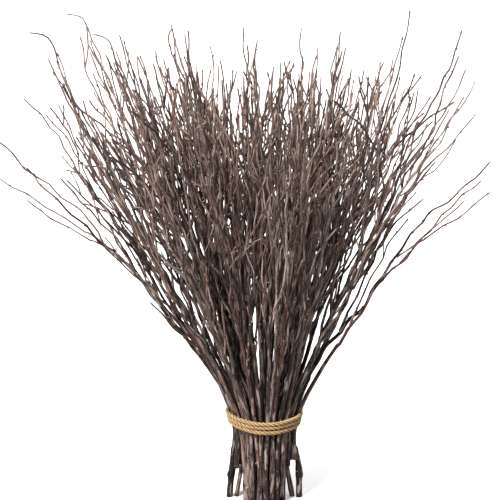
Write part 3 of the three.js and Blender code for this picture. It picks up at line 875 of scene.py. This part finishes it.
class Finish(Nodes):
    """A material in the making."""

    def __init__(self, title, roughness, specular):
        self.material = bpy.data.materials.new(title)
        self.material.use_nodes = True
        super().__init__(self.material.node_tree)
        self.shader = next(n for n in self.group.nodes if n.type == "BSDF_PRINCIPLED")
        self.shader.inputs["Roughness"].default_value = roughness
        self.shader.inputs["Specular IOR Level"].default_value = specular

    def attribute(self, name, output="Fac"):
        return self.node("ShaderNodeAttribute", attribute_name=name).outputs[output]

    def noise(self, place, stretch, detail):
        stretched = self.out("ShaderNodeVectorMath", place, stretch, operation="MULTIPLY")
        return self.out("ShaderNodeTexNoise", stretched, None, 1.0, detail)

    def ramp(self, factor, stops):
        made = self.node("ShaderNodeValToRGB", factor)
        keys = made.color_ramp.elements
        while len(keys) < len(stops):
            keys.new(0.5)
        for key, (place, colour) in zip(keys, stops):
            key.position = place
            key.color = (*linear(colour), 1.0)
        return made.outputs[0]

    def mix(self, factor, first, second, blend="MIX"):
        """Two colours mixed, each a socket or 0 to 255 per channel."""
        first, second = ((*linear(c), 1.0) if isinstance(c, tuple) else c for c in (first, second))
        made = self.node("ShaderNodeMix", factor, (6, first), (7, second), data_type="RGBA", blend_type=blend)
        return made.outputs[2]

    def range(self, value, low, high, to_low=0.0, to_high=1.0):
        return self.out("ShaderNodeMapRange", value, low, high, to_low, to_high)

    def bump(self, height, strength, distance):
        made = self.node("ShaderNodeBump")
        made.inputs["Strength"].default_value = strength
        made.inputs["Distance"].default_value = distance
        self.group.links.new(height, made.inputs["Height"])
        self.group.links.new(made.outputs[0], self.shader.inputs["Normal"])

    def colour(self, socket):
        self.group.links.new(socket, self.shader.inputs["Base Color"])
        return self.material


def linear(colour):
    """A colour given as 0 to 255 per channel, as light."""
    shares = np.asarray(colour, float) / 255
    return tuple(np.where(shares < 0.04045, shares / 12.92, ((shares + 0.055) / 1.055) ** 2.4))


def bark_finish():
    """Brown bark, with grey, red and dark twigs among it, and pale wood where it is cut."""
    made = Finish("bark", 0.6, 0.15)
    grain = made.attribute("grain", "Vector")
    girth = made.attribute("girth")
    # grey, reddish, dark and pale kinds of twig, each shading into the next
    kind = made.ramp(
        made.attribute("tint"),
        [
            (0.0, (122, 101, 98)),
            (0.14, (156, 124, 111)),
            (0.24, (24, 17, 17)),
            (0.4, (22, 16, 16)),
            (0.52, (132, 94, 82)),
            (0.64, (38, 28, 27)),
            (0.8, (202, 180, 169)),
            (0.9, (92, 75, 71)),
            (1.0, (34, 24, 24)),
        ],
    )
    # dark streaks along the grain, pale patches that are partly worn bark and partly painted highlight, and
    # lenticels across thick bark
    streaks = made.noise(grain, (1300.0, 1300.0, 110.0), 4.0)
    kind = made.mix(made.range(streaks, 0.42, 0.56), kind, (28, 19, 18))
    # pale patches: worn bark, and painted highlight along the limbs as well
    pale_patches_and_painted_highlights = made.noise(grain, (330.0, 330.0, 60.0), 3.0)
    kind = made.mix(made.range(pale_patches_and_painted_highlights, 0.55, 0.62, 0.0, 0.64), kind, (190, 170, 160))
    thick = made.range(girth, 0.9, 1.9)
    dashes = made.range(made.noise(grain, (420.0, 420.0, 1500.0), 1.0), 0.69, 0.73)
    kind = made.mix(made.sum("MULTIPLY", dashes, thick), kind, (186, 168, 152))
    # thin wood is younger and paler
    young = made.range(girth, 0.5, 1.3, 0.16, 0.0)
    kind = made.mix(young, kind, (168, 146, 136))
    slender = made.range(girth, 0.5, 1.3, 1.0, 0.0)
    kind = made.mix(slender, kind, (124, 118, 115), "DODGE")
    # thick limbs, which stand low in the bundle, darkened towards near black: painted shade for the bundle's
    # foot
    kind = made.mix(made.range(girth, 1.0, 2.2, 0.0, 0.18), kind, (30, 21, 19))
    rings = made.noise(grain, (900.0, 900.0, 60.0), 2.0)
    wood = made.ramp(rings, [(0.3, (146, 118, 92)), (0.7, (188, 164, 134))])
    made.bump(streaks, 0.5, 0.0005)
    return made.colour(made.mix(made.range(made.attribute("cut"), 0.45, 0.55), kind, wood))


def jute_finish():
    """Straw-coloured jute, with fibres along the plies and painted shade in the grooves between them."""
    made = Finish("jute", 0.85, 0.2)
    around = made.sum("MULTIPLY", made.attribute("around"), TAU)
    round_ply = made.sum("COSINE", around), made.sum("SINE", around)
    place = made.out("ShaderNodeCombineXYZ", *round_ply, made.attribute("along"))
    fibres = made.noise(place, (5.0, 5.0, 260.0), 5.0)
    straw = made.ramp(
        fibres,
        [(0.25, (120, 88, 54)), (0.42, (166, 132, 92)), (0.6, (208, 178, 134)), (0.8, (240, 218, 180))],
    )
    weather = made.noise(place, (0.6, 0.6, 60.0), 2.0)
    straw = made.mix(made.range(weather, 0.4, 0.7, 0.0, 0.35), straw, (156, 124, 84))
    # painted shade: darker where the surface lies deep, in the grooves between the plies
    painted_groove_shade = made.range(made.attribute("depth"), 0.52, 0.9, 0.95, 0.0)
    straw = made.mix(painted_groove_shade, straw, (66, 46, 26))
    made.bump(fibres, 0.6, 0.0005)
    return made.colour(straw)


# -------- the twine's route

def taut_radius(centres, radii, bearing):
    """How far from the axis a taut loop round these sections lies, in a given direction."""
    turns = np.radians(np.arange(-60, 61, 2.0))
    facing = bearing + turns
    reach = np.max(centres @ np.array([np.cos(facing), np.sin(facing)]) + radii[:, None], axis=0)
    return np.min(reach / np.cos(turns))


def section(stems, height):
    """Where each stem is at a height, and how thick: x, y and radius."""
    return np.array(
        [
            [np.interp(height, line[:, 2], value) for value in (line[:, 0], line[:, 1], radii)]
            for line, radii in stems
        ]
    )


def twine_route(stems):
    """The twine's turns round the waist, from the back, each laid taut round the stems."""
    heights = np.linspace(WAIST - 10, WAIST + 20, 61)
    sections = [section(stems, height) for height in heights]
    points = []
    for i in range(TWINE_TURNS * TWINE_STEPS + 1):
        turns = i / TWINE_STEPS
        bearing = math.pi / 2 - TAU * turns
        wander = TWINE_WANDER * math.sin(1.7 * bearing + 2.1 * int(turns))
        wander *= math.sin(math.pi * turns / TWINE_TURNS)
        height = TWINE_START + TWINE_PITCH * turns + 0.5 * TWINE_DIP * math.sin(bearing) + wander
        height += TWINE_SADDLE * math.cos(bearing) ** 2
        rows = sections[int(np.argmin(abs(heights - height - 0.8)))]
        reach = taut_radius(rows[:, :2], rows[:, 2], bearing) + TWINE_RADIUS - 0.1
        points.append([reach * math.cos(bearing), reach * math.sin(bearing), height])
    route = np.array(points)
    spread = np.linalg.norm(route[:, :2], axis=1)
    eased = np.convolve(np.pad(spread, 3, mode="edge"), np.ones(7) / 7, mode="valid")
    route[:, :2] *= (eased / spread)[:, None]
    return route


def twine_lines(stems):
    """The turns round the waist, the knot at the back and its two tails."""
    turns = twine_route(stems)
    first, last = turns[0], turns[-1]
    knot_at = (first + last) / 2
    knot_at[1] = max(first[1], last[1]) + KNOT_CLEAR
    circle = np.linspace(0, TAU, 61)[:-1]
    swing = KNOT_SWING + KNOT_BULGE * np.cos(3 * circle)
    knot = knot_at + np.column_stack(
        [swing * np.cos(2 * circle), KNOT_DEPTH * np.sin(3 * circle), swing * np.sin(2 * circle)]
    )
    tails = []
    for hand, length in TAILS:
        guide = [(0, 0, 0), (hand * 8, 2.5, -1), (hand * 13, 4, -8), (hand * 14, 5, -0.8 * length)]
        tails.append(curve([knot_at + g for g in np.array(guide, float)], 24))
    lead_in = curve([knot_at, knot_at + [5, 0.5, -3], first + [6, 0.8, 0], turns[1]], 10)
    lead_out = curve([turns[-2], last + [-6, 0.8, 0], knot_at + [-5, 0.5, 3], knot_at], 10)
    whole = np.concatenate([lead_in[:-1], turns[1:-1], lead_out[1:]])
    return [(whole, False), (knot, True), *((tail, False) for tail in tails)]


def line_mesh(name, lines):
    """A mesh of edges only, along lines that are open or closed."""
    places, edges = [], []
    for line, closed in lines:
        first = len(places)
        places += (np.asarray(line) * MM).tolist()
        edges += [(first + i, first + i + 1) for i in range(len(line) - 1)]
        if closed:
            edges.append((first + len(line) - 1, first))
    made = bpy.data.meshes.new(name)
    made.from_pydata(places, edges, [])
    return made


# -------- the bundle

def belongs(piece, slot, *nodes):
    """A piece, the name of a material, which is not used, and the solids that it stands for."""
    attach(piece, "root")
    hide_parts(*nodes)


bark = bark_finish()
jute = jute_finish()
buds = bud_tree()
bud_sizes = {"Bud Sides": 5, "Bud Fullness": 0.2, "Material": bark}

stems = []
solids = sorted(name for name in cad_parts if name[-1].isdigit())
for number, name in enumerate(solids):
    wood, stem = stem_twig(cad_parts[name], STEM_SEED + number)
    stems.append(stem)
    piece = grown(f"{name}_bark", wood.mesh(name), buds, bud_sizes)
    belongs(piece, "bark", name)

for number, place in enumerate(inner_places()):
    wood = inner_twig(place, INNER_SEED + number)
    piece = grown(f"inner_twig_{number + 1:02d}", wood.mesh("inner"), buds, bud_sizes)
    belongs(piece, "bark", "inner_twigs")

tie = grown(
    "jute_tie",
    line_mesh("tie", twine_lines(stems)),
    twine_tree(),
    {
        "Ply Radius": PLY_RADIUS * MM,
        "Ply Centre": PLY_CENTRE * MM,
        "Lay Length": LAY_LENGTH * MM,
        "Ring Length": 0.8 * MM,
        "Fibre Length": 2.6 * MM,
        "Fibre Thickness": 0.07 * MM,
        "Fibres per Area": 60000.0,
        "Seed": 7,
        "Material": jute,
    },
)
belongs(tie, "jute", "twine_tie")


# -------- floor, light and camera

def floor(half):
    """A plain pale floor, which throws no light back on the bundle."""
    made = bpy.data.meshes.new("floor")
    corners = [(x * half, y * half, 0) for x, y in ((-1, -1), (1, -1), (1, 1), (-1, 1))]
    made.from_pydata(corners, [], [(0, 1, 2, 3)])
    plain = Finish("floor", 0.9, 0.1)
    plain.shader.inputs["Base Color"].default_value = (0.93, 0.93, 0.93, 1.0)
    made.materials.append(plain.material)
    slab = bpy.data.objects.new("floor", made)
    bpy.context.scene.collection.objects.link(slab)
    slab.visible_diffuse = False


def lamp(name, place, softness, power):
    """A soft light from far off, in the direction of a place."""
    data = bpy.data.lights.new(name, "SUN")
    data.angle, data.energy = math.radians(softness), power
    made = bpy.data.objects.new(name, data)
    made.rotation_euler = Vector(place).to_track_quat("Z", "Y").to_euler()
    bpy.context.scene.collection.objects.link(made)


def sky(seen, felt):
    """A white surround: as bright as seen to the camera, and lighting the bundle as felt."""
    world = bpy.data.worlds.new("studio")
    world.use_nodes = True
    nodes, links = world.node_tree.nodes, world.node_tree.links
    path = nodes.new("ShaderNodeLightPath")
    level = nodes.new("ShaderNodeMapRange")
    level.inputs["To Min"].default_value = felt
    level.inputs["To Max"].default_value = seen
    links.new(path.outputs["Is Camera Ray"], level.inputs["Value"])
    nodes["Background"].inputs["Color"].default_value = (1.0, 1.0, 1.0, 1.0)
    links.new(level.outputs["Result"], nodes["Background"].inputs["Strength"])
    return world


def studio():
    """The white surround, the lamps, whose softness is in degrees, and the floor."""
    scene = bpy.context.scene
    scene.view_settings.view_transform = "Standard"
    scene.world = sky(seen=1.0, felt=0.06)
    lamp("key", (-1.1, -1.5, 1.4), softness=18, power=6.0)
    lamp("fill", (1.7, -1.0, 1.2), softness=60, power=1.5)
    lamp("overhead", (0.2, 0.4, 2.4), softness=60, power=2.1)
    lamp("behind", (0.7, 1.7, 1.0), softness=60, power=1.5)
    floor(half=40.0)


def camera(aim, elevation, distance, lens):
    """A camera in front of the bundle, which looks down on its aim at the elevation."""
    data = bpy.data.cameras.new("camera")
    data.lens, data.sensor_width = lens, 36.0
    data.clip_start, data.clip_end = 0.05, 50
    made = bpy.data.objects.new("camera", data)
    back = Vector((0, -math.cos(elevation), math.sin(elevation)))
    made.location = Vector(aim) + back * distance
    made.rotation_euler = (-back).to_track_quat("-Z", "Y").to_euler()
    bpy.context.scene.collection.objects.link(made)
    bpy.context.scene.camera = made


studio()
camera(aim=(-0.0135, 0.044, 0.2264), elevation=math.radians(11), distance=1.6, lens=123.0)
